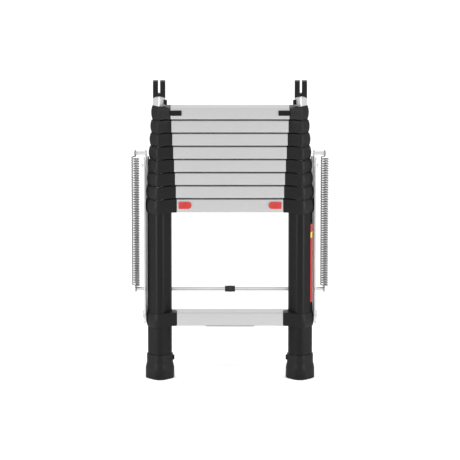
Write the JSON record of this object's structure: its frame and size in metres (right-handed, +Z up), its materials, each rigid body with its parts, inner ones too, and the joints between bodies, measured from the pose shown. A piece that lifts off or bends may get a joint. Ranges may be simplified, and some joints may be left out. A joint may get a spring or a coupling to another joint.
{
  "type": "telescoping ladder",
  "caption": "Telescoping loft ladder with nested stiles, hollow rungs on moulded collars, sliding release buttons, fork ends and spring-balanced side arms.",
  "frame": {"origin": "on the floor, midway between the two stiles, in the plane of their centres; the middle of the bounding box lies 4 mm further back", "axes": "+X to the right, +Z up along the stiles, -Y towards the user in front of the rungs"},
  "size_m": [0.507, 0.0751, 0.7835],
  "materials": {
    "aluminium": "satin anodised",
    "black_tube": "satin black coating",
    "black_plastic": "fine moulded texture",
    "steel": "zinc plated",
    "spring_wire": "zinc plated wire",
    "red_plastic": "moulded",
    "rubber": "matte"
  },
  "bodies": {
    "base": {"base_tube_left": "black_tube", "base_tube_right": "black_tube", "foot_left": "black_plastic", "foot_right": "black_plastic", "rung_1": "aluminium", "rung_1_collar_left": "black_plastic", "rung_1_collar_right": "black_plastic", "rung_2": "aluminium", "rung_2_collar_left": "black_plastic", "rung_2_collar_right": "black_plastic", "rear_frame": "steel", "rod_grip": "rubber", "rung_1_strip": "steel"},
    "release_button_left": {"release_button_left": "red_plastic"},
    "release_button_right": {"release_button_right": "red_plastic"},
    "section_2": {"section_2_tube_left": "aluminium", "section_2_tube_right": "aluminium", "rung_3": "aluminium", "rung_3_collar_left": "black_plastic", "rung_3_collar_right": "black_plastic"},
    "section_3": {"section_3_tube_left": "aluminium", "section_3_tube_right": "aluminium", "rung_4": "aluminium", "rung_4_collar_left": "black_plastic", "rung_4_collar_right": "black_plastic"},
    "section_4": {"section_4_tube_left": "aluminium", "section_4_tube_right": "aluminium", "rung_5": "aluminium", "rung_5_collar_left": "black_plastic", "rung_5_collar_right": "black_plastic"},
    "section_5": {"section_5_tube_left": "aluminium", "section_5_tube_right": "aluminium", "rung_6": "aluminium", "rung_6_collar_left": "black_plastic", "rung_6_collar_right": "black_plastic"},
    "section_6": {"section_6_tube_left": "aluminium", "section_6_tube_right": "aluminium", "rung_7": "aluminium", "rung_7_collar_left": "black_plastic", "rung_7_collar_right": "black_plastic"},
    "section_7": {"section_7_tube_left": "aluminium", "section_7_tube_right": "aluminium", "rung_8": "aluminium", "rung_8_collar_left": "black_plastic", "rung_8_collar_right": "black_plastic"},
    "section_8": {"section_8_tube_left": "aluminium", "section_8_tube_right": "aluminium", "rung_9": "aluminium", "rung_9_collar_left": "black_plastic", "rung_9_collar_right": "black_plastic", "top_fork_left": "black_plastic", "top_fork_right": "black_plastic"},
    "top_latch_left": {"top_latch_left": "black_plastic"},
    "top_latch_right": {"top_latch_right": "black_plastic"},
    "side_arm_left": {"side_arm_left": "steel"},
    "side_arm_right": {"side_arm_right": "steel"},
    "spring_left": {"spring_left": "spring_wire"},
    "spring_right": {"spring_right": "spring_wire"},
    "spring_hook_left": {"spring_hook_left": "spring_wire"},
    "spring_hook_right": {"spring_hook_right": "spring_wire"}
  },
  "joints": [
    {"name": "section_2_slide", "type": "slide", "parent": "base", "child": "section_2", "axis": [0, 0, 1], "range_m": [0, 0.2656]},
    {"name": "section_3_slide", "type": "slide", "parent": "section_2", "child": "section_3", "axis": [0, 0, 1], "range_m": [0, 0.2656]},
    {"name": "section_4_slide", "type": "slide", "parent": "section_3", "child": "section_4", "axis": [0, 0, 1], "range_m": [0, 0.2656]},
    {"name": "section_5_slide", "type": "slide", "parent": "section_4", "child": "section_5", "axis": [0, 0, 1], "range_m": [0, 0.2656]},
    {"name": "section_6_slide", "type": "slide", "parent": "section_5", "child": "section_6", "axis": [0, 0, 1], "range_m": [0, 0.2656]},
    {"name": "section_7_slide", "type": "slide", "parent": "section_6", "child": "section_7", "axis": [0, 0, 1], "range_m": [0, 0.2656]},
    {"name": "section_8_slide", "type": "slide", "parent": "section_7", "child": "section_8", "axis": [0, 0, 1], "range_m": [0, 0.2656]},
    {"name": "release_button_left_slide", "type": "slide", "parent": "base", "child": "release_button_left", "axis": [1, 0, 0], "range_m": [0, 0.007], "stiffness_N_per_m": 400, "springref_m": -0.002},
    {"name": "release_button_right_slide", "type": "slide", "parent": "base", "child": "release_button_right", "axis": [-1, 0, 0], "range_m": [0, 0.007], "stiffness_N_per_m": 400, "springref_m": -0.002},
    {"name": "top_latch_left_slide", "type": "slide", "parent": "section_8", "child": "top_latch_left", "axis": [1, 0, 0], "range_m": [0, 0.007], "stiffness_N_per_m": 400, "springref_m": -0.002},
    {"name": "top_latch_right_slide", "type": "slide", "parent": "section_8", "child": "top_latch_right", "axis": [-1, 0, 0], "range_m": [0, 0.007], "stiffness_N_per_m": 400, "springref_m": -0.002},
    {"name": "side_arm_left_swing", "type": "hinge", "parent": "base", "child": "side_arm_left", "pos_m": [-0.2198, 0.00385, 0.1674], "axis": [1, 0, 0], "range_deg": [0, 90], "stiffness_Nm_per_rad": 6, "springref_deg": -20.05},
    {"name": "side_arm_right_swing", "type": "hinge", "parent": "base", "child": "side_arm_right", "pos_m": [0.2198, 0.00385, 0.1674], "axis": [1, 0, 0], "range_deg": [0, 90], "stiffness_Nm_per_rad": 6, "springref_deg": -20.05},
    {"name": "spring_left_swing", "type": "hinge", "parent": "base", "child": "spring_left", "pos_m": [-0.2427, 0.0316, 0.2279], "axis": [1, 0, 0], "range_deg": [0, 94.5]},
    {"name": "spring_left_stretch", "type": "slide", "parent": "spring_left", "child": "spring_hook_left", "axis": [0, -0.0757, 0.9971], "range_m": [0, 0.092], "deforming": ["spring_left", "spring_hook_left"]},
    {"name": "spring_right_swing", "type": "hinge", "parent": "base", "child": "spring_right", "pos_m": [0.2427, 0.0316, 0.2279], "axis": [1, 0, 0], "range_deg": [0, 94.5]},
    {"name": "spring_right_stretch", "type": "slide", "parent": "spring_right", "child": "spring_hook_right", "axis": [0, -0.0757, 0.9971], "range_m": [0, 0.092], "deforming": ["spring_right", "spring_hook_right"]}
  ],
  "couplings": [
    {"joint": "spring_left_swing", "follows": "side_arm_left_swing", "ratio": 1.0361},
    {"joint": "spring_left_stretch", "follows": "side_arm_left_swing", "m_per_rad": 0.058068},
    {"joint": "spring_right_swing", "follows": "side_arm_right_swing", "ratio": 1.0361},
    {"joint": "spring_right_stretch", "follows": "side_arm_right_swing", "m_per_rad": 0.058068}
  ]
}
